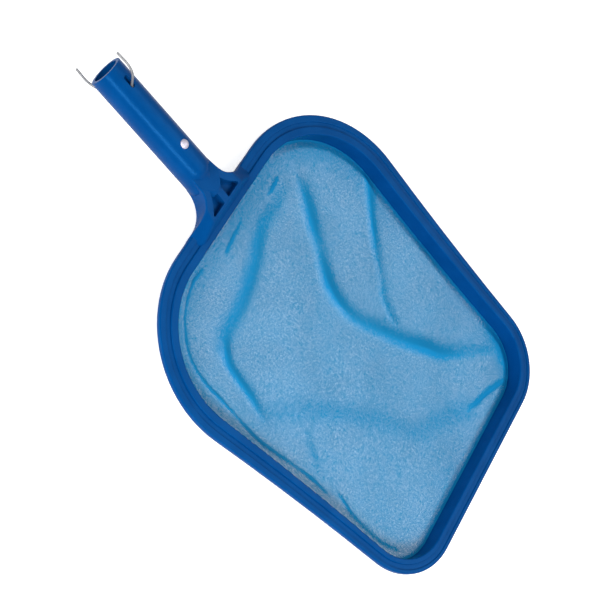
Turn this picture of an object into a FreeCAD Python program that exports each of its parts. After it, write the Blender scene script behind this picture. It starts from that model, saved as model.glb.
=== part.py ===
import FreeCAD, Part
import math
import os

# Leaf skimmer net for a pool: a flat moulded head with a fine net, and a tube that takes the pole.
# Millimetres. +Z is up when the skimmer lies on the ground, and the tube points to +Y.
# The origin is the centre of the tube's mouth. "Inset" is measured inwards from the head's edge.

V = FreeCAD.Vector

# Head in plan
head_length = 342.4          # back edge, beside the tube, to front edge
shoulder_centre = 64.0       # sideways place of each rounded shoulder's centre
shoulder_radius = 97.0
corner_centre = 82.0         # sideways place of each front corner's centre
corner_radius = 57.0
side_radius = 3000.0         # the long sides are drawn in very slightly

# Rim in section; it narrows from the back to the front
rim_height = 18.2
lip_back, lip_front = 8.4, 5.8            # width of the outer lip
band_back, band_front = 9.2, 6.7          # width of the raised band inside it
lip_drop = 0.6               # lip below the band
flange_thickness = 2.6       # top wall under the band
groove_width = 4.0           # shallow channel between lip and band
groove_depth = 1.0
skirt_depth = 4.6            # turned-down edge of the lip
skirt_thickness = 2.4
wall_thickness = 2.6         # inner wall
foot_width = 4.6             # thick foot at the bottom of the wall
foot_height = 5.0
rebate_width = 2.8           # step under the foot, for the net's edge
edge_round = 1.5             # rounded outer edge of the lip
band_round = 1.2             # rounded inner edge of the band
groove_round = 0.9

# Net and the ring that holds it
net_thickness = 0.4
net_pitch = 16.6
net_strand = 2.2
net_border = 3.0             # plain edge inside the wall
ring_thickness = 1.2
ring_floor_gap = 0.2         # ring above the ground
ring_clearance = 0.2

# Tube
tube_diameter = 29.2
tube_wall = 3.35
tube_tilt = 5.0              # degrees, the mouth is higher
mouth_to_head = 138.9        # mouth centre to the head's back edge, along Y
mouth_height = 33.4          # mouth centre above the ground
tube_length = 122.3          # outside, with the narrow end inside the neck
nose_radius = 8.6            # the tube narrows to this before it enters the neck
nose_length = 2.5
nose_bulge = 12.0            # radii of the double curve that narrows it
nose_hollow = 10.0
socket_depth = 75.0          # how far the pole goes in, to a shoulder
core_radius = 9.0            # narrower hollow behind the shoulder
core_depth = 108.8
cradle_depth = 120.0         # its lower part keeps the full width to here, then tapers into the neck
cradle_taper = 12.0
cradle_end_radius = 8.5
mouth_overhang = 4.0         # more than the upright cut of the mouth takes off its top
mouth_round = 0.6            # outer edge of the mouth

# Neck between tube and head: a solid block with hollow corners in plan
foot_corner = 26.0           # radius of the hollow corner between tube and lip, at the block's foot
foot_side = 10.9             # sideways place of the corner's side
foot_turn = 80.0             # degrees of it, after which it runs off under the tube
foot_run = 20.0              # length of that run
top_corner = 15.6            # the same four at the block's top
top_side = 14.4
top_turn = 88.0
top_run = 18.0
top_overhang = 6.0           # the corner's top edge beyond the head's back edge
neck_half_width = 52.0       # plan of the block, which its side slopes then trim
block_height = 9.7           # brow and shoulders of the block above the rim
block_brow_y = -5.7          # brow, in front of the head's back edge
block_toe_y = -12.9          # where the front slope meets the band
block_shoulder_x = 24.5      # shoulder, to each side
block_toe_x = 40.1           # where the side slopes meet the band
block_back_height = 13.5     # top of the block, where the rise ends
block_back_y = 17.3          # end of the rise
block_end_y = 38.0           # back of the block, inside the tube
block_round = 4.0            # rounding of brow and shoulders
hollow_round = 1.0           # rounding along the top of the hollow sides
pocket_back_y = 15.4         # back and front corners of each pocket's sloping side
pocket_front_y = -3.4
pocket_back_x = 7.5
pocket_front_x = 22.5
pocket_bow = 1.8             # how far the sloping side is hollowed
rib_half_width = 3.4         # middle rib between the pockets
pocket_floor = 4.2           # pocket floor above the rim
pocket_round = 1.2
keel_half_width = 1.5        # stiffening web under the neck

# Sprung wires
wire_diameter = 2.0
wire_height = 12.05          # wire's centre line from the tube's axis, where it lies in the tube
wire_groove_gap = 0.3
room_depth = 7.2             # from the tube's axis to the bottom of what is cut for the wires
slot_centre = 14.4           # slot's middle behind the mouth
slot_length = 11.7
slot_width = 4.4
slot_round = 2.1             # rounded ends
leg_bend = 19.2              # where the leg turns outwards, behind the mouth
leg_bend_radius = 5.0
ear_bend = 6.6               # where the sloping part would meet the ear, behind the mouth
ear_bend_height = 28.35
ear_bend_radius = 18.8
ear_reach = 11.2             # ear's tip beyond the mouth
ear_tip_height = 26.8
eye_hole_radius = 1.7
eye_gap = 0.45               # room for the eye to tilt when the wire is squeezed

# Rivets that hold the wires
rivet_place = 81.8           # behind the mouth
rivet_radius = 1.5
rivet_hole_gap = 0.1
rivet_head_radius = 4.0
rivet_head_height = 2.5
rivet_tail_radius = 2.7
rivet_tail_height = 1.1
rivet_tail_round = 0.3
spot_face = 0.3              # flat under the head, cut this far into the tube
spot_face_gap = 0.3          # flat beyond the head's edge

# Picking faces and edges to round
steep_limit = 0.4            # a face with a smaller upward part of its direction stands upright
upright_limit = 0.9          # an edge with a larger upward part of its direction stands upright
close = 0.001                # edges nearer than this lie in the same place

# Places worked out from the sizes
tilt = math.radians(tube_tilt)
ground = -mouth_height
rim_top = ground + rim_height
head_back = -mouth_to_head
head_front = head_back - head_length
tube_radius = tube_diameter / 2
bore_radius = tube_radius - tube_wall
wire_radius = wire_diameter / 2
rim_back = lip_back + band_back
rim_front = lip_front + band_front


def other_side(point):
    """The same point on the other side of the middle."""
    return V(-point.x, point.y, point.z)


def rim_inset(fraction_of_lip, beyond):
    """Insets at the back and the front of a line that runs round the head inside its edge."""
    return (lip_back * fraction_of_lip + beyond, lip_front * fraction_of_lip + beyond)


def wall_inset(beyond):
    """Insets of a line that runs round the head beside the inner wall's face."""
    return (rim_back + beyond, rim_front + beyond)


def head_outline(inset, z):
    """Closed outline of the head in plan: straight ends, round corners, sides slightly drawn in."""
    back_radius = shoulder_radius - inset[0]
    front_radius = corner_radius - inset[1]
    side = side_radius + (inset[0] + inset[1]) / 2
    back_centre = V(shoulder_centre, head_back - shoulder_radius, z)
    front_centre = V(corner_centre, head_front + corner_radius, z)
    run = front_centre - back_centre
    spacing = run.Length
    along = run / spacing
    across = V(-along.y, along.x, 0)
    reach_back = side + back_radius
    reach_front = side + front_radius
    travel = (reach_back ** 2 - reach_front ** 2 + spacing ** 2) / (2 * spacing)
    side_centre = back_centre + along * travel + across * math.sqrt(reach_back ** 2 - travel ** 2)

    def on(centre, radius, direction):
        return centre + direction / direction.Length * radius

    back_start = back_centre + V(0, back_radius, 0)
    back_end = on(back_centre, back_radius, side_centre - back_centre)
    front_start = on(front_centre, front_radius, side_centre - front_centre)
    front_end = front_centre - V(0, front_radius, 0)
    back_middle = on(back_centre, back_radius, (back_start + back_end) / 2 - back_centre)
    front_middle = on(front_centre, front_radius, (front_start + front_end) / 2 - front_centre)
    side_middle = on(side_centre, side, (back_end + front_start) / 2 - side_centre)
    right = [
        (back_start, back_middle, back_end),
        (back_end, side_middle, front_start),
        (front_start, front_middle, front_end),
    ]

    left = [tuple(other_side(p) for p in reversed(arc)) for arc in reversed(right)]
    edges = [Part.LineSegment(other_side(back_start), back_start).toShape()]
    edges += [Part.Arc(*arc).toShape() for arc in right]
    edges.append(Part.LineSegment(front_end, other_side(front_end)).toShape())
    edges += [Part.Arc(*arc).toShape() for arc in left]
    return Part.Wire(edges)


def plate(inset, low, high):
    """Whole plate of the head's shape, from one height above the ground to another."""
    return Part.Face(head_outline(inset, ground + low)).extrude(V(0, 0, high - low))


def band(outer, inner, low, high):
    """Ring of the head's shape between two insets and two heights above the ground."""
    return plate(outer, low, high).cut(plate(inner, low, high))


def rounded(shape, inset, height, radius):
    """Rounds the edges that run along one outline at one height above the ground."""
    line = head_outline(inset, ground + height)
    near = [e for e in shape.Edges
            if all(line.distToShape(Part.Vertex(e.valueAt(t)))[0] < close
                   for t in (e.FirstParameter, (e.FirstParameter + e.LastParameter) / 2, e.LastParameter))]
    return shape.makeFillet(radius, near)


def tilted(shape):
    """Turns a shape drawn along a level tube, mouth at the origin, to the tube's real tilt."""
    return shape.rotate(V(0, 0, 0), V(1, 0, 0), tube_tilt)


def prism(points, offset):
    """Straight prism of a closed polygon."""
    return Part.Face(Part.makePolygon(points + points[:1])).extrude(offset)


def block(low, high):
    """Box between two corners."""
    return Part.makeBox(high.x - low.x, high.y - low.y, high.z - low.z, low)


def upright_cylinder(radius, depth, low, high):
    """Cylinder square to the level tube's axis, at a depth behind the mouth."""
    return Part.makeCylinder(radius, high - low, V(0, -depth, low), V(0, 0, 1))


def make_rim():
    """Rim in section: lip with a turned-down edge, raised band, inner wall and foot."""
    lip_top = rim_height - lip_drop
    flange_low = rim_height - groove_depth - flange_thickness
    lip_edge = rim_inset(1, -groove_width / 2)
    band_edge = rim_inset(1, groove_width / 2)
    foot_edge = wall_inset(-foot_width)
    rebate_edge = wall_inset(-rebate_width)
    edge = rim_inset(0, 0)
    wall_face = wall_inset(0)
    rebate_height = ring_floor_gap + ring_thickness + net_thickness

    lip = band(edge, lip_edge, flange_low, lip_top)
    skirt = band(edge, rim_inset(0, skirt_thickness), lip_top - skirt_depth, flange_low)
    raised = band(band_edge, wall_face, flange_low, rim_height)
    floor = band(lip_edge, band_edge, flange_low, lip_top - groove_depth)
    wall = band(wall_inset(-wall_thickness), wall_face, foot_height, flange_low)
    foot = band(foot_edge, wall_face, rebate_height, foot_height)
    sole = band(foot_edge, rebate_edge, 0, rebate_height)
    rim = lip.multiFuse([skirt, raised, floor, wall, foot, sole]).removeSplitter()
    rim = rounded(rim, edge, lip_top, edge_round)
    rim = rounded(rim, wall_face, rim_height, band_round)
    rim = rounded(rim, band_edge, rim_height, groove_round)
    rim = rounded(rim, lip_edge, lip_top, groove_round)
    rim = rounded(rim, edge, lip_top - skirt_depth, groove_round)
    return rim


def neck_outline(corner, side, edge, turn, run, z):
    """Plan of the block: hollow corners beside the tube, then a run towards the mouth."""
    centre_x = side + corner
    centre_y = head_back + edge + corner
    front_y = head_back + block_toe_y
    angle = math.radians(turn)

    def on_corner(part_turn):
        return V(centre_x - corner * math.sin(part_turn), centre_y - corner * math.cos(part_turn), z)

    corner_end = on_corner(angle)
    run_end = corner_end + V(-math.cos(angle), math.sin(angle), 0) * run
    right = [V(neck_half_width, front_y, z), V(neck_half_width, head_back + edge, z), on_corner(0)]
    edges = [Part.LineSegment(a, b).toShape() for a, b in zip(right, right[1:])]
    edges.append(Part.Arc(on_corner(0), on_corner(angle / 2), corner_end).toShape())
    edges.append(Part.LineSegment(corner_end, run_end).toShape())
    edges.append(Part.LineSegment(run_end, other_side(run_end)).toShape())
    edges.append(Part.LineSegment(other_side(run_end), other_side(corner_end)).toShape())
    edges.append(Part.Arc(other_side(corner_end), other_side(on_corner(angle / 2)),
                          other_side(on_corner(0))).toShape())
    edges += [Part.LineSegment(other_side(b), other_side(a)).toShape()
              for a, b in reversed(list(zip(right, right[1:])))]
    edges.append(Part.LineSegment(other_side(right[0]), right[0]).toShape())
    return Part.Wire(edges)


def make_roof(low):
    """Top of the block: a slope up to the brow and to each shoulder, then a slow rise to the tube."""
    back = head_back + block_end_y
    high = rim_top + block_back_height

    def slope(toe, crest, z):
        return toe + (crest - toe) * (z - rim_top) / block_height

    brow_low = head_back + slope(block_toe_y, block_brow_y, low)
    wide, narrow = slope(block_toe_x, block_shoulder_x, low), slope(block_toe_x, block_shoulder_x, high)
    side_view = prism([V(-wide, brow_low, low),
                       V(-wide, head_back + block_brow_y, rim_top + block_height),
                       V(-wide, head_back + block_back_y, high),
                       V(-wide, back, high),
                       V(-wide, back, low)], V(2 * wide, 0, 0))
    end_view = prism([V(-wide, brow_low, low), V(-narrow, brow_low, high),
                      V(narrow, brow_low, high), V(wide, brow_low, low)], V(0, back - brow_low, 0))
    roof = side_view.common(end_view)
    crests = [e for e in roof.Edges
              if max(v.Z for v in e.Vertexes) > low + close and min(v.Y for v in e.Vertexes) < back - close]
    return roof.makeFillet(block_round, crests)


def is_steep(face):
    """Whether a face stands nearly upright."""
    first_u, last_u, first_v, last_v = face.ParameterRange
    return abs(face.normalAt((first_u + last_u) / 2, (first_v + last_v) / 2).z) < steep_limit


def make_raised_block():
    """Block that carries the tube on the rim, with the top of its hollow sides rounded."""
    low = rim_top - lip_drop - skirt_depth
    high = rim_top + block_back_height + block_round
    plan = Part.makeLoft([neck_outline(foot_corner, foot_side, 0, foot_turn, foot_run, low),
                          neck_outline(top_corner, top_side, top_overhang, top_turn, top_run, high)], True, True)
    raised = plan.common(make_roof(low))
    first_y, last_y = head_back - hollow_round, head_back + block_end_y - hollow_round
    brims = []
    for edge in raised.Edges:
        walls = [f for f in raised.Faces if is_steep(f) and any(edge.isSame(e) for e in f.Edges)]
        start_y = min(v.Y for v in edge.Vertexes)
        if len(walls) == 1 and first_y < start_y < last_y and min(v.Z for v in edge.Vertexes) > low + close:
            brims.append(edge)
    return raised.makeFillet(hollow_round, brims)


def make_pockets():
    """Two three-cornered pockets in the block's top, one on each side of the middle rib."""
    low = rim_top + pocket_floor
    back = head_back + pocket_back_y
    front = head_back + pocket_front_y
    corners = [V(rib_half_width, back, low), V(pocket_back_x, back, low),
               V(pocket_front_x, front, low), V(rib_half_width, front, low)]
    slope = corners[2] - corners[1]
    middle = (corners[1] + corners[2]) / 2 + V(slope.y, -slope.x, 0).normalize() * pocket_bow
    outline = Part.Wire([
        Part.LineSegment(corners[0], corners[1]).toShape(),
        Part.Arc(corners[1], middle, corners[2]).toShape(),
        Part.LineSegment(corners[2], corners[3]).toShape(),
        Part.LineSegment(corners[3], corners[0]).toShape()])
    pocket = Part.Face(outline).extrude(V(0, 0, block_back_height))
    upright = [e for e in pocket.Edges if abs(e.tangentAt(e.FirstParameter).z) > upright_limit]
    pocket = pocket.makeFillet(pocket_round, upright)
    return [pocket, pocket.mirror(V(0, 0, 0), V(1, 0, 0))]


def make_keel():
    """Web under the neck, from the tube's underside to the inner wall."""
    lip_top = rim_top - lip_drop
    foot_top = ground + foot_height
    wall_y = head_back - rim_back + foot_width
    root_y = head_back + foot_corner
    return prism([V(-keel_half_width, y, z) for y, z in (
        (wall_y - wall_thickness, foot_top),
        (wall_y - wall_thickness, lip_top - groove_depth),
        (root_y, lip_top - groove_depth),
        (root_y, lip_top - skirt_depth))], V(2 * keel_half_width, 0, 0))


def make_tube_outside():
    """Outside of the tilted tube: mouth cut upright and eased, far end narrowed in a double curve to a nose."""
    both = nose_bulge + nose_hollow
    turn = math.acos(1 - (tube_radius - nose_radius) / both)
    curve_end = tube_length - nose_length
    curve_start = curve_end - both * math.sin(turn)

    def on_bulge(angle):
        return V(0, -curve_start - nose_bulge * math.sin(angle),
                 tube_radius - nose_bulge + nose_bulge * math.cos(angle))

    def on_hollow(angle):
        return V(0, -curve_end + nose_hollow * math.sin(angle),
                 nose_radius + nose_hollow - nose_hollow * math.cos(angle))

    start, rim = V(0, mouth_overhang, 0), V(0, mouth_overhang, tube_radius)
    profile = Part.Wire([
        Part.LineSegment(start, rim).toShape(),
        Part.LineSegment(rim, on_bulge(0)).toShape(),
        Part.Arc(on_bulge(0), on_bulge(turn / 2), on_bulge(turn)).toShape(),
        Part.Arc(on_hollow(turn), on_hollow(turn / 2), on_hollow(0)).toShape(),
        Part.LineSegment(on_hollow(0), V(0, -tube_length, nose_radius)).toShape(),
        Part.LineSegment(V(0, -tube_length, nose_radius), V(0, -tube_length, 0)).toShape(),
        Part.LineSegment(V(0, -tube_length, 0), start).toShape()])
    tube = tilted(Part.Face(profile).revolve(V(0, 0, 0), V(0, 1, 0), 360))
    mouth_y = tube_radius * math.sin(tilt)
    reach = tube_diameter
    tube = tube.cut(block(V(-reach, mouth_y, -reach), V(reach, mouth_y + reach, reach)))
    mouth = [e for e in tube.Edges if abs(e.BoundBox.YMin - mouth_y) + abs(e.BoundBox.YMax - mouth_y) < close]
    return tube.makeFillet(mouth_round, mouth)


def make_cradle():
    """Lower part of the tube, which keeps its full width into the neck and then tapers, up to the block's top."""
    start = tube_length - nose_bulge - nose_hollow - nose_length
    end = cradle_depth + cradle_taper
    straight = Part.makeCylinder(tube_radius, cradle_depth - start, V(0, -cradle_depth, 0), V(0, 1, 0))
    taper = Part.makeCone(cradle_end_radius, tube_radius, cradle_taper, V(0, -end, 0), V(0, 1, 0))
    full = tilted(straight.fuse(taper))
    wide = 2 * tube_radius
    keep = block(V(-wide, head_back, ground), V(wide, 0, rim_top + block_back_height))
    return full.common(keep)


def wire_room():
    """What is cut from the tube for the upper wire and rivet, on a level tube."""
    slot_back = slot_centre + slot_length / 2
    slot_front = slot_centre - slot_length / 2
    top = tube_radius + mouth_round
    low = room_depth
    slot = block(V(-slot_width / 2, -slot_back, low), V(slot_width / 2, -slot_front, top))
    slot = slot.makeFillet(slot_round, [e for e in slot.Edges if abs(e.tangentAt(0).z) > upright_limit])
    groove_half = wire_radius + wire_groove_gap
    groove = block(V(-groove_half, -rivet_place, low),
                   V(groove_half, -slot_centre, wire_height + wire_radius + wire_groove_gap))
    eye = upright_cylinder(eye_hole_radius + wire_diameter + eye_gap, rivet_place, low,
                           wire_height + wire_radius + eye_gap)
    hole = upright_cylinder(rivet_radius + rivet_hole_gap, rivet_place, low, top)
    flat = upright_cylinder(rivet_head_radius + spot_face_gap, rivet_place, tube_radius - spot_face, top)
    return [slot, groove, eye, hole, flat]


def lower(shape):
    """The same shape on the tube's underside, still on a level tube."""
    return shape.mirror(V(0, 0, 0), V(0, 0, 1))


def make_frame():
    """Rim, neck and pole tube: one moulding."""
    socket = Part.makeCylinder(bore_radius, socket_depth + mouth_overhang, V(0, -socket_depth, 0), V(0, 1, 0))
    core = Part.makeCylinder(core_radius, core_depth, V(0, -core_depth, 0), V(0, 1, 0))
    upper_room = wire_room()
    room = [socket, core] + upper_room + [lower(shape) for shape in upper_room]
    raised = make_raised_block().cut(make_pockets())
    solid = make_rim().multiFuse([raised, make_keel(), make_cradle(), make_tube_outside()])
    return solid.cut([tilted(shape) for shape in room]).removeSplitter()


def make_ring():
    """Flat ring pressed into the rebate, which traps the net's edge."""
    return band(wall_inset(ring_clearance - rebate_width), wall_inset(0),
                ring_floor_gap, ring_floor_gap + ring_thickness)


def make_net():
    """Net stretched flat across the head, as one thin sheet with square gaps."""
    low = ring_floor_gap + ring_thickness
    sheet = plate(wall_inset(ring_clearance - rebate_width), low, low + net_thickness)
    window = plate(wall_inset(net_border), low, low + net_thickness)
    gap = net_pitch - net_strand
    across = math.ceil(shoulder_centre + shoulder_radius)
    columns = math.ceil(across / net_pitch)
    rows = math.ceil(head_length / net_pitch)
    middle_y = head_back - head_length / 2
    gaps = []
    for column in range(-columns, columns + 1):
        for row in range(rows + 1):
            centre = V(column * net_pitch, middle_y + (row - rows / 2) * net_pitch, ground + low)
            square = block(centre - V(gap / 2, gap / 2, 0), centre + V(gap / 2, gap / 2, net_thickness))
            kept = square.common(window)
            if kept.Volume > net_strand * gap * net_thickness:
                gaps.append(kept)
    print("net gaps", len(gaps))
    return sheet.cut(gaps)


def wire_path():
    """Centre line of the upper wire on a level tube, from its eye to the tip of its ear."""
    points = [V(0, -(rivet_place - eye_hole_radius - wire_radius), wire_height),
              V(0, -leg_bend, wire_height),
              V(0, -ear_bend, ear_bend_height),
              V(0, ear_reach, ear_tip_height)]
    radii = [leg_bend_radius, ear_bend_radius]
    edges = []
    start = points[0]
    for before, corner, after, radius in zip(points, points[1:], points[2:], radii):
        back = (before - corner).normalize()
        on = (after - corner).normalize()
        half = (math.pi - back.getAngle(on)) / 2
        trim = radius * math.tan(half)
        middle = corner + (back + on).normalize() * (radius / math.cos(half) - radius)
        edges.append(Part.LineSegment(start, corner + back * trim).toShape())
        edges.append(Part.Arc(corner + back * trim, middle, corner + on * trim).toShape())
        start = corner + on * trim
    edges.append(Part.LineSegment(start, points[-1]).toShape())
    return Part.Wire(edges)


def make_wire():
    """Upper spring wire on a level tube: a closed eye, a straight leg and an ear past the mouth."""
    path = wire_path()
    start = path.Edges[0].valueAt(path.Edges[0].FirstParameter)
    section = Part.Wire([Part.Circle(start, V(0, 1, 0), wire_radius).toShape()])
    leg = path.makePipeShell([section], True, False)
    eye = Part.makeTorus(eye_hole_radius + wire_radius, wire_radius, V(0, -rivet_place, wire_height))
    tip = Part.makeSphere(wire_radius, V(0, ear_reach, ear_tip_height))
    return leg.fuse([eye, tip])


def make_rivet():
    """Upper rivet on a level tube: domed head outside, shank, and a flat tail inside."""
    seat = tube_radius - spot_face
    dome_radius = (rivet_head_radius ** 2 + rivet_head_height ** 2) / (2 * rivet_head_height)
    dome = Part.makeSphere(dome_radius, V(0, -rivet_place, seat + rivet_head_height - dome_radius))
    head = dome.common(upright_cylinder(rivet_head_radius * 2, rivet_place, seat, seat + rivet_head_height))
    tail_top = wire_height - wire_radius - eye_gap
    tail = upright_cylinder(rivet_tail_radius, rivet_place, tail_top - rivet_tail_height, tail_top)
    rims = [e for e in tail.Edges if e.Curve.TypeId == "Part::GeomCircle"]
    tail = tail.makeFillet(rivet_tail_round, rims)
    shank = upright_cylinder(rivet_radius, rivet_place, tail_top - rivet_tail_height / 2, seat + rivet_tail_round)
    return head.fuse([shank, tail]).removeSplitter()


os.makedirs("parts", exist_ok=True)
wire = make_wire()
rivet = make_rivet()
pieces = {
    "frame": make_frame(),
    "net": make_net(),
    "retaining_ring": make_ring(),
    "upper_latch_wire": tilted(wire.copy()),
    "lower_latch_wire": tilted(lower(wire)),
    "upper_rivet": tilted(rivet.copy()),
    "lower_rivet": tilted(lower(rivet)),
}
for name, shape in pieces.items():
    print(name, shape.isValid(), len(shape.Solids), round(shape.Volume, 1), shape.BoundBox)
    shape.exportStep("parts/" + name + ".step")
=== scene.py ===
import math
import bpy
import numpy as np
from mathutils import Matrix, Vector


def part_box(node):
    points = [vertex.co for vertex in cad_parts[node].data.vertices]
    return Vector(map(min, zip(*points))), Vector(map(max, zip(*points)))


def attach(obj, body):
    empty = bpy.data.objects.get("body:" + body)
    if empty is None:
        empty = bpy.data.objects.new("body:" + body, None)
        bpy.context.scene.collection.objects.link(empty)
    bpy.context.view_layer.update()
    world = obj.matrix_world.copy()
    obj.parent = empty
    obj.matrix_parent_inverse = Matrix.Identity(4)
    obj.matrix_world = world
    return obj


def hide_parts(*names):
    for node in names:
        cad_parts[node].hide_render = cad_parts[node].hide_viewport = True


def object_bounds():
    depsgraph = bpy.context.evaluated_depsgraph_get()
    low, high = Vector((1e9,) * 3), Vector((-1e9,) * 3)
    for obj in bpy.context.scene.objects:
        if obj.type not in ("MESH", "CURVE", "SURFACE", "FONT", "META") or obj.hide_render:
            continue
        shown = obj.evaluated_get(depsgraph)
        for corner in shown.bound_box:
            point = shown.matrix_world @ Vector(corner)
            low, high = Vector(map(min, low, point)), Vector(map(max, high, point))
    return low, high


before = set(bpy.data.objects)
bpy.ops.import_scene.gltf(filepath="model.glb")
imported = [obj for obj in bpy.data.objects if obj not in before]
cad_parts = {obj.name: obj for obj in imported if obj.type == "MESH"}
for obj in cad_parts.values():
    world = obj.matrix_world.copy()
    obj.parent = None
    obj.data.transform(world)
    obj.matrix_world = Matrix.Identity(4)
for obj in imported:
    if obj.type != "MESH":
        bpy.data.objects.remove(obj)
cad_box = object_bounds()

bpy.context.scene.view_settings.view_transform = "Standard"
for chosen in bpy.context.selected_objects:
    chosen.select_set(False)


# Camera, 1.6 metres from the tube's mouth, with a long lens.
# It looks down at about 50 degrees, from the -X side and from a little beyond the pole end.
image_right = Vector((0.44407, -0.66255, 0.60319))
image_up = Vector((0.71563, 0.66736, 0.20619))
towards_camera = Vector((-0.53915, 0.34009, 0.77049))
camera_data = bpy.data.cameras.new("camera")
camera_data.sensor_fit = "HORIZONTAL"
camera_data.sensor_width = 36.0
camera_data.lens = 123.5
camera_data.clip_start = 0.05
camera = bpy.data.objects.new("camera", camera_data)
bpy.context.scene.collection.objects.link(camera)
turn = Matrix((image_right, image_up, towards_camera)).transposed().to_4x4()
camera_place = (-0.91535, 0.32361, 1.27690)
camera.matrix_world = Matrix.Translation(camera_place) @ turn
bpy.context.scene.camera = camera


# Floor and light.
# A pale floor that the skimmer lies on, an even room, two large soft lamps and a narrow one
# whose reflection draws the bright line along the tube.


class Signal:
    """A socket that a value comes from, with the arithmetic that is written on it."""

    def __init__(self, tree, socket):
        self.tree = tree
        self.socket = socket

    def math(self, operation, *values):
        return nodes_of(self.tree, "ShaderNodeMath", {"operation": operation}, *values)

    def __add__(self, other):
        return self.math("ADD", self, other)

    def __radd__(self, other):
        return self.math("ADD", other, self)

    def __sub__(self, other):
        return self.math("SUBTRACT", self, other)

    def __rsub__(self, other):
        return self.math("SUBTRACT", other, self)

    def __mul__(self, other):
        return self.math("MULTIPLY", self, other)

    def __rmul__(self, other):
        return self.math("MULTIPLY", other, self)

    def above(self, edge):
        return self.math("GREATER_THAN", self, edge)

    def most(self, other):
        return self.math("MAXIMUM", self, other)

    def repeat(self, pitch):
        """Distance from the middle of the nearest strand, for strands at that pitch."""
        return self.math("PINGPONG", self, pitch / 2)

    def smooth(self, low, high):
        ramp = {"interpolation_type": "SMOOTHSTEP"}
        return nodes_of(self.tree, "ShaderNodeMapRange", ramp, self, low, high, 0.0, 1.0)


def nodes_of(tree, kind, settings, *values, output=0):
    """Adds a node, makes its settings first, then sets or links its sockets in order."""
    node = tree.nodes.new(kind)
    for name, value in settings.items():
        setattr(node, name, value)
    for index, value in enumerate(values):
        if value is None:
            continue
        if isinstance(value, Signal):
            tree.links.new(value.socket, node.inputs[index])
        else:
            node.inputs[index].default_value = value
    return Signal(tree, node.outputs[output])


def new_material(name, **constants):
    """Material with a Principled shader, and constants set on the shader's own sockets."""
    material = bpy.data.materials.new(name)
    material.use_nodes = True
    tree = material.node_tree
    shader = tree.nodes["Principled BSDF"]
    for socket, value in constants.items():
        shader.inputs[socket.replace("_", " ")].default_value = value
    return material, tree, shader


floor_width = 8.0
floor_place = (0, -0.2, cad_box[0][2])
floor_glow = 0.75            # seen by the camera alone, so that the floor comes out white
room_light = 0.36
bpy.ops.mesh.primitive_plane_add(size=floor_width, location=floor_place)
floor = bpy.context.object
floor.name = "floor"
floor_material, tree, shader = new_material("pale_floor", Base_Color=(0.9, 0.9, 0.9, 1), Roughness=0.9,
                                            Specular_IOR_Level=0.0)
seen = nodes_of(tree, "ShaderNodeLightPath", {})
glow = nodes_of(tree, "ShaderNodeEmission", {}, (1, 1, 1, 1), seen * floor_glow)
both = nodes_of(tree, "ShaderNodeAddShader", {}, Signal(tree, shader.outputs[0]), glow)
tree.links.new(both.socket, tree.nodes["Material Output"].inputs["Surface"])
floor.data.materials.append(floor_material)

world = bpy.data.worlds.new("room")
world.use_nodes = True
world.node_tree.nodes["Background"].inputs["Color"].default_value = (0.94, 0.97, 1.0, 1)
world.node_tree.nodes["Background"].inputs["Strength"].default_value = room_light
bpy.context.scene.world = world


def lamp(name, place, aim, width, length, watts, turn_about=0.0):
    """Oblong lamp at a place, aimed at a point, turned about its own axis."""
    data = bpy.data.lights.new(name, "AREA")
    data.shape = "RECTANGLE"
    data.size = width
    data.size_y = length
    data.energy = watts
    holder = bpy.data.objects.new(name, data)
    bpy.context.scene.collection.objects.link(holder)
    direction = Vector(aim) - Vector(place)
    holder.matrix_world = (Matrix.Translation(place) @ direction.to_track_quat("-Z", "Y").to_matrix().to_4x4()
                           @ Matrix.Rotation(turn_about, 4, "Z"))


head_middle = (0, -0.28, 0)
tube_middle = (0, -0.06, 0)
lamp("overhead_softbox", (0.6, -1.05, 1.85), head_middle, 1.6, 1.6, 15.0)
lamp("camera_side_softbox", (-1.3, 1.15, 0.62), head_middle, 1.2, 1.2, 24.0)
lamp("streak_light", (-1.08, -0.61, 0.86), tube_middle, 0.3, 0.8, 12.0, math.radians(90))


# Frame: one moulding of blue polypropylene, rim, neck and tube together.
# The plastic is glossy but soft, with the faint waves and grain of a cheap mould.
plastic_sheen = (0.06, 0.42, 0.95, 1)
plastic_index = 1.49
plastic_specular = 0.18


def tint(tree, mask, first, second):
    """Colour that goes from the first to the second with the mask."""
    sockets_of_other_kinds = [None] * 5
    return nodes_of(tree, "ShaderNodeMix", {"data_type": "RGBA"},
                    mask, *sockets_of_other_kinds, first, second, output=2)


def grain(tree, scale, detail=2.0, stretch=(1, 1, 1)):
    """Even noise fixed to the piece, with features about 1 / scale metres across."""
    place = nodes_of(tree, "ShaderNodeTexCoord", {}, output=3)
    mapped = nodes_of(tree, "ShaderNodeMapping", {}, place, None, None, stretch)
    return nodes_of(tree, "ShaderNodeTexNoise", {}, mapped, None, scale, detail)


def bump(tree, shader, height, distance):
    """Relief that follows the height, with that distance in metres for a height of 1."""
    normal = nodes_of(tree, "ShaderNodeBump", {}, 1.0, distance, None, height)
    tree.links.new(normal.socket, shader.inputs["Normal"])


def give(node_name, material):
    """Puts a material on every slot of a CAD piece."""
    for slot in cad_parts[node_name].material_slots:
        slot.material = material


plastic, tree, shader = new_material("blue_polypropylene", IOR=plastic_index,
                                     Specular_IOR_Level=plastic_specular, Specular_Tint=plastic_sheen)
cloudy = grain(tree, 45.0, 3.0)
blue = tint(tree, cloudy.smooth(0.3, 0.7), (0.0003, 0.056, 0.222, 1), (0.0008, 0.066, 0.252, 1))
tree.links.new(blue.socket, shader.inputs["Base Color"])
fine = grain(tree, 900.0, 2.0)
tree.links.new((cloudy * 0.08 + 0.2).socket, shader.inputs["Roughness"])
bump(tree, shader, fine + cloudy * 3.0, 0.00006)
give("frame", plastic)


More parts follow.
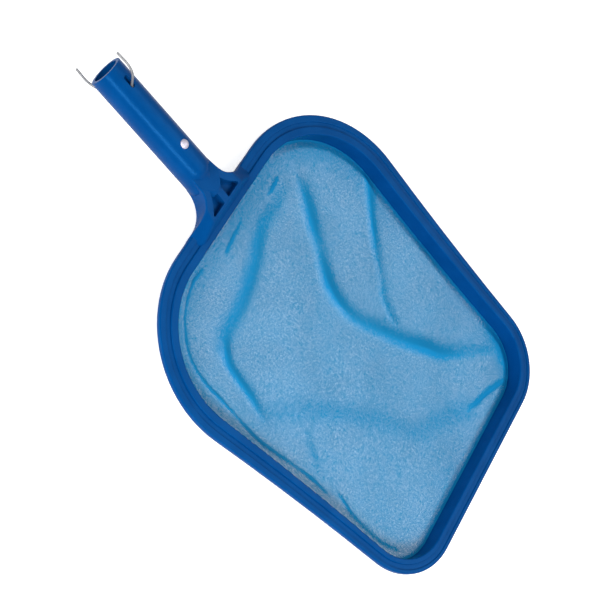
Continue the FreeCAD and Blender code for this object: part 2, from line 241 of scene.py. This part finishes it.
# Retaining ring: a flat ring of the same plastic, pressed into the rebate under the rim.
# It is a shade paler and duller, because it is moulded apart from the frame.
ring_plastic, tree, shader = new_material("ring_polypropylene", Roughness=0.42, IOR=plastic_index,
                                          Specular_IOR_Level=plastic_specular, Specular_Tint=plastic_sheen)
cloudy = grain(tree, 60.0, 3.0)
blue = tint(tree, cloudy.smooth(0.3, 0.7), (0.0001, 0.06, 0.26, 1), (0.0004, 0.07, 0.29, 1))
tree.links.new(blue.socket, shader.inputs["Base Color"])
bump(tree, shader, cloudy, 0.0001)
give("retaining_ring", ring_plastic)


# Net: fine blue polyester mesh, cut to the head's shape and trapped under the rim.
# It is a little slack, so it lies in soft folds, and where it doubles it looks denser. Painted shade along
# the wall's foot and near the back wall makes it denser and darker there too.
hem_back = 0.0155            # the cut edge's inset from the head's edge, at the back
hem_front = 0.0104           # the same at the front
wall_back = 0.0176           # the inner wall's inset from that edge, at the back
wall_front = 0.0125
net_thickness = 0.00025
net_low, net_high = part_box("net")
net_level = (net_low[2] + net_high[2]) / 2
head_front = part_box("frame")[0][1]
head_length = 0.3424
head_back = head_front + head_length
shoulder_x, shoulder_r = 0.064, 0.097    # centre and radius of each rounded shoulder
corner_x, corner_r = 0.082, 0.057        # the same for each front corner
side_r = 3.0                 # the long sides are drawn in very slightly


def half_width(y, back_inset, front_inset):
    """Half the width of the head's outline at y, for an outline that lies inside the edge."""
    r_back = shoulder_r - back_inset
    r_front = corner_r - front_inset
    r_side = side_r + (back_inset + front_inset) / 2
    back = Vector((shoulder_x, head_back - shoulder_r))
    front = Vector((corner_x, head_front + corner_r))
    run = front - back
    spacing = run.length
    along = run / spacing
    across = Vector((-along.y, along.x))
    reach_back = r_side + r_back
    reach_front = r_side + r_front
    travel = (reach_back ** 2 - reach_front ** 2 + spacing ** 2) / (2 * spacing)
    side = back + along * travel + across * math.sqrt(reach_back ** 2 - travel ** 2)
    back_join = back + (side - back).normalized() * r_back
    front_join = front + (side - front).normalized() * r_front
    if y > back_join.y:
        return back.x + math.sqrt(max(0.0, r_back ** 2 - (y - back.y) ** 2))
    if y < front_join.y:
        return front.x + math.sqrt(max(0.0, r_front ** 2 - (y - front.y) ** 2))
    return side.x - math.sqrt(r_side ** 2 - (y - side.y) ** 2)


rows, columns = 235, 205
end_crowding = 0.35          # how much closer the rows lie at both ends
side_crowding = 0.45         # the same for the columns at the sides
hem_front_y = head_front + hem_front
hem_back_y = head_back - hem_back
flat_points = []
for row in range(rows + 1):
    share = 0.5 - 0.5 * math.cos(math.pi * row / rows)
    y = hem_front_y + (hem_back_y - hem_front_y) * (end_crowding * share + (1 - end_crowding) * row / rows)
    half = half_width(y, hem_back, hem_front)
    for column in range(columns + 1):
        share = 2 * column / columns - 1
        crowded = math.sin(math.pi / 2 * share)
        flat_points.append((half * ((1 - side_crowding) * share + side_crowding * crowded), y))
flat_points = np.array(flat_points)

# Each fold is its line in plan, with how strongly the mesh doubles at each point, then half its
# width on the left of the line and on the right, and its height. Millimetres from the middle of
# the head's back edge.
folds = [
    ([(87, -51, 0.1), (77, -67, 0.5), (62, -86, 0.65), (49, -105, 0.35), (30, -126, 0.75), (24, -145, 0.6),
      (24, -166, 0.45), (33, -190, 0.5), (43, -214, 0.6), (55, -238, 0.8), (64, -255, 0.6), (86, -277, 0.3),
      (110, -299, 0.3)], 9, 4, 4.0),
    ([(34, -122, 0.3), (28, -130, 0.8), (23, -146, 0.7), (23, -160, 0.2)], 1.6, 1.1, 0.6),
    ([(41, -211, 0.2), (54, -236, 0.8), (63, -253, 0.6), (71, -264, 0.2)], 1.8, 1.3, 0.6),
    ([(141, -103, 1.0), (131, -113, 0.85), (115, -127, 0.6), (100, -141, 0.55), (90, -151, 0.35),
      (76, -167, 0.2), (61, -181, 0.3), (53, -200, 0.25)], 6, 3, 2.5),
    ([(126, -117, 0.4), (114, -128, 0.9), (103, -138, 0.9), (94, -147, 0.3)], 1.8, 1.2, 0.5),
    ([(69, -47, 0.15), (47, -50, 0.3), (27, -49, 0.4), (9, -55, 0.5), (-5, -61, 0.5), (-26, -67, 0.55),
      (-51, -72, 0.5), (-75, -74, 0.5), (-88, -80, 0.5)], 7, 7, 3.5),
    ([(-80, -74, 0.2), (-89, -81, 0.7), (-96, -91, 0.75), (-100, -107, 0.7), (-103, -124, 0.6),
      (-107, -140, 0.25)], 6, 2.5, 2.5),
    ([(73, -38, 0.2), (66, -39, 0.9), (58, -40, 0.9), (52, -40, 0.3)], 2.0, 2.0, 1.0),
    ([(20, -31, 0.2), (8, -33, 0.5), (-4, -34, 0.9), (-17, -36, 0.8), (-22, -37, 0.3)], 1.8, 1.8, 1.0),
    ([(-42, -29, 0.2), (-52, -28, 0.8), (-62, -28, 0.9), (-77, -32, 0.6), (-90, -38, 0.65), (-101, -46, 0.7),
      (-111, -55, 0.8), (-118, -67, 0.7), (-122, -82, 0.8), (-123, -98, 0.95), (-124, -118, 0.5),
      (-125, -138, 0.9), (-124, -158, 0.9), (-121, -176, 0.7), (-119, -190, 0.45), (-117, -205, 0.9),
      (-117, -220, 0.5), (-117, -228, 0.2)], 1.7, 1.4, 1.2),
    ([(-109, -235, 0.2), (-111, -243, 0.7), (-114, -252, 0.9), (-115, -263, 0.6), (-115, -280, 0.5),
      (-113, -295, 0.6), (-108, -310, 0.3)], 1.6, 1.6, 1.2),
    ([(97, -325, 0.3), (91, -321, 0.8), (72, -313, 0.95), (54, -308, 0.85), (43, -304, 0.4)], 2.0, 3.0, 1.5),
    ([(122, -288, 0.5), (117, -303, 0.9), (110, -317, 1.0), (101, -330, 0.8)], 11, 9, 2.0),
    ([(-105, -141, 0.15), (-70, -174, 0.18), (-50, -202, 0.22), (-27, -238, 0.16), (-13, -268, 0.16),
      (15, -285, 0.18), (43, -304, 0.25)], 9, 9, 1.5),
    ([(-85, -180, 0.1), (-93, -190, 0.2), (-99, -199, 0.25), (-107, -210, 0.1)], 4, 4, 1.0),
]


line_doublings = 4           # how often the points of a fold's line are doubled in number


def smooth_line(points):
    """Curve through the fold's points, as a fine chain in metres with the doubling in its last column."""
    chain = np.array(points, float) * (0.001, 0.001, 1) + (0, head_back, 0)
    for _ in range(line_doublings):
        middle = np.empty((2 * len(chain) - 1, 3))
        middle[::2] = chain
        left = np.vstack([chain[:1], chain[:-2]])
        right = np.vstack([chain[2:], chain[-1:]])
        middle[1::2] = (9 * (chain[:-1] + chain[1:]) - left - right) / 16
        chain = middle
    return chain


def near_line(points, chain):
    """Distance to the chain, its side, and the chain's third column where it is nearest."""
    best = np.full(len(points), np.inf)
    side = np.ones(len(points))
    strength = np.zeros(len(points))
    for first, last in zip(chain, chain[1:]):
        start, end = first[:2], last[:2]
        step = np.linalg.norm(end - start)
        direction = (end - start) / step
        offset = points - start
        travel = np.clip(offset @ direction, 0, step)
        apart = offset - travel[:, None] * direction
        distance = np.linalg.norm(apart, axis=1)
        nearer = distance < best
        best = np.where(nearer, distance, best)
        side = np.where(nearer, np.sign(direction[0] * apart[:, 1] - direction[1] * apart[:, 0]), side)
        strength = np.where(nearer, first[2] + (last[2] - first[2]) * travel / step, strength)
    return best, side, strength


def bell(value):
    """1 at the middle, and next to nothing from 2 on."""
    return np.exp(-value ** 2)


def ease(value, low, high):
    """Smooth rise from 0 at the low value to 1 at the high one."""
    share = np.clip((value - low) / (high - low), 0, 1)
    return share * share * (3 - 2 * share)


wall_steps = 240
wall_line = []
for row in range(wall_steps + 1):
    share = 0.5 - 0.5 * math.cos(math.pi * row / wall_steps)
    y = head_front + wall_front + (head_back - wall_back - head_front - wall_front) * share
    wall_line.append((half_width(y, wall_back, wall_front), y))
wall_line = wall_line + [(-x, y) for x, y in reversed(wall_line)]
wall_line = np.array([(x, y, 0) for x, y in wall_line + wall_line[:1]])
to_wall, _, _ = near_line(flat_points, wall_line)
inside = np.array([abs(x) < half_width(y, wall_back, wall_front)
                   and head_front + wall_front < y < head_back - wall_back for x, y in flat_points])
to_wall = np.where(inside, to_wall, -to_wall)

wave_height = 0.0014
slack = 0.0008               # how far the cloth hangs between its folds
hem_doubling_and_shade = 0.9           # along the foot of the wall: the doubled hem, with painted shade where the wall meets the cloth
painted_back_shadow = 0.25         # painted shadow of the back wall on the cloth near it
hem_width = 0.0045
wall_touch, wall_calm = 0.0004, 0.009    # the cloth lies flat at the wall and is free beyond the second
slack_start, slack_full = 0.004, 0.05    # the cloth sinks between these distances from the wall
back_start, back_width = 0.004, 0.034    # the painted shadow at the back fades out between these
back_fade, back_full = 0.19, 0.05        # it fades in between these distances from the head's back edge
height = np.zeros(len(flat_points))
density_and_shade = np.zeros(len(flat_points))
for line, left_width, right_width, rise in folds:
    distance, side, strength = near_line(flat_points, smooth_line(line))
    width = np.where(side > 0, left_width, right_width) / 1000
    height += rise / 1000 * bell(distance / width) * strength
    density_and_shade = np.maximum(density_and_shade, strength * bell(distance / width))
x, y = flat_points[:, 0], flat_points[:, 1]
# Low waves, 0.1 to 0.25 metres long and at odd angles, so that they don't repeat.
wave = (np.sin(31 * x + 17 * y + 0.6) * np.sin(23 * y - 11 * x + 1.1)
        + 0.5 * np.sin(52 * x - 29 * y) * np.sin(47 * y + 0.4))
height += wave_height * np.maximum(wave + 1, 0)
height *= ease(to_wall, wall_touch, wall_calm)
height -= slack * ease(to_wall, slack_start, slack_full) * (1 - density_and_shade)
# Painted shade along the foot of the wall, on top of the doubled hem: the cloth there is drawn denser and
# darker.
beside_wall = 1 - ease(to_wall, 0.0, hem_width)
density_and_shade = np.maximum(density_and_shade, hem_doubling_and_shade * beside_wall)
# Painted shadow of the back wall, laid on the cloth near it as extra density and a darker blue.
back_shadow_mask = 1 - ease(to_wall, back_start, back_width)
back_shadow_mask *= ease(y, head_back - back_fade, head_back - back_full)
density_and_shade = np.maximum(density_and_shade, painted_back_shadow * back_shadow_mask)

net_mesh = bpy.data.meshes.new("net_cloth")
across = columns + 1
faces = [(r * across + c, r * across + c + 1, (r + 1) * across + c + 1, (r + 1) * across + c)
         for r in range(rows) for c in range(columns)]
places = np.column_stack([flat_points, net_level + height])
net_mesh.from_pydata(places.tolist(), [], faces)
flat_map = net_mesh.uv_layers.new(name="cut")
loop_points = np.array([loop.vertex_index for loop in net_mesh.loops])
flat_map.data.foreach_set("uv", flat_points[loop_points].ravel())
doubling_and_shade = net_mesh.attributes.new("doubling_and_shade", "FLOAT", "POINT")
doubling_and_shade.data.foreach_set("value", density_and_shade)
net = bpy.data.objects.new("net_cloth", net_mesh)
bpy.context.scene.collection.objects.link(net)
net.select_set(True)
bpy.context.view_layer.objects.active = net
bpy.ops.object.shade_smooth()
thicken = net.modifiers.new("thickness", "SOLIDIFY")
thicken.thickness = net_thickness
thicken.offset = 0.0
bpy.ops.object.modifier_apply(modifier="thickness")
net.select_set(False)

mesh_pitch = 0.0009
strand_width = 0.00037
strand_relief = 0.5
strand_spread = 1.7          # how strongly the noise widens a strand
strand_least = 0.27          # the share of its width that the noise is added to
net_material, tree, shader = new_material("blue_mesh", Roughness=0.55, Specular_IOR_Level=0.15)
cut = nodes_of(tree, "ShaderNodeUVMap", {"uv_map": "cut"})
along_x = nodes_of(tree, "ShaderNodeSeparateXYZ", {}, cut, output=0)
along_y = nodes_of(tree, "ShaderNodeSeparateXYZ", {}, cut, output=1)
doubled_and_shaded = nodes_of(tree, "ShaderNodeAttribute", {"attribute_name": "doubling_and_shade"}, output=2)
uneven = grain(tree, 620.0, 2.0)
half_gap = (mesh_pitch - strand_width) / 2
half_strand = doubled_and_shaded * half_gap + (uneven * strand_spread + strand_least) * (strand_width / 2)
gap_x = mesh_pitch / 2 - along_x.repeat(mesh_pitch)
gap_y = mesh_pitch / 2 - along_y.repeat(mesh_pitch)
strand_x = half_strand - gap_x
strand_y = half_strand - gap_y
cover = strand_x.above(0.0).most(strand_y.above(0.0))
tree.links.new(cover.socket, shader.inputs["Alpha"])
patches = grain(tree, 30.0, 2.0)
plain = tint(tree, patches.smooth(0.3, 0.7), (0.012, 0.32, 0.64, 1), (0.008, 0.295, 0.6, 1))
# The darker blue comes with the doubling in the folds and with the painted shade along the wall's foot and
# near the back wall.
shade = tint(tree, doubled_and_shaded, plain, (0.0, 0.235, 0.54, 1))
tree.links.new(shade.socket, shader.inputs["Base Color"])
bump(tree, shader, strand_x.most(strand_y).most(0.0), strand_relief)
net.data.materials.append(net_material)
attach(net, "head")
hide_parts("net")
flat_area = 0.0
for r in range(rows):
    low_y, high_y = flat_points[r * across, 1], flat_points[(r + 1) * across, 1]
    low_w = flat_points[r * across + columns, 0]
    high_w = flat_points[(r + 1) * across + columns, 0]
    flat_area += (high_y - low_y) * (low_w + high_w)


# Wires: two lengths of drawn stainless spring wire, bent cold, each held by its rivet.
# The drawing leaves fine lines along the wire.
steel, tree, shader = new_material("spring_wire_steel", Metallic=0.55)
lines = grain(tree, 700.0, 2.0, (1.0, 0.05, 1.0))
tone = tint(tree, lines, (0.27, 0.27, 0.28, 1), (0.38, 0.38, 0.39, 1))
tree.links.new(tone.socket, shader.inputs["Base Color"])
tree.links.new((lines * 0.2 + 0.4).socket, shader.inputs["Roughness"])
give("upper_latch_wire", steel)
give("lower_latch_wire", steel)


# Rivets: two soft aluminium rivets with domed heads, through the tube's wall.
# The heads have a dull, slightly pitted face.
rivet_metal, tree, shader = new_material("rivet_aluminium", Metallic=0.5, Roughness=0.55)
pits = grain(tree, 1800.0, 3.0)
tone = tint(tree, pits, (0.60, 0.55, 0.68, 1), (0.76, 0.71, 0.82, 1))
tree.links.new(tone.socket, shader.inputs["Base Color"])
bump(tree, shader, pits, 0.00008)
give("upper_rivet", rivet_metal)
give("lower_rivet", rivet_metal)
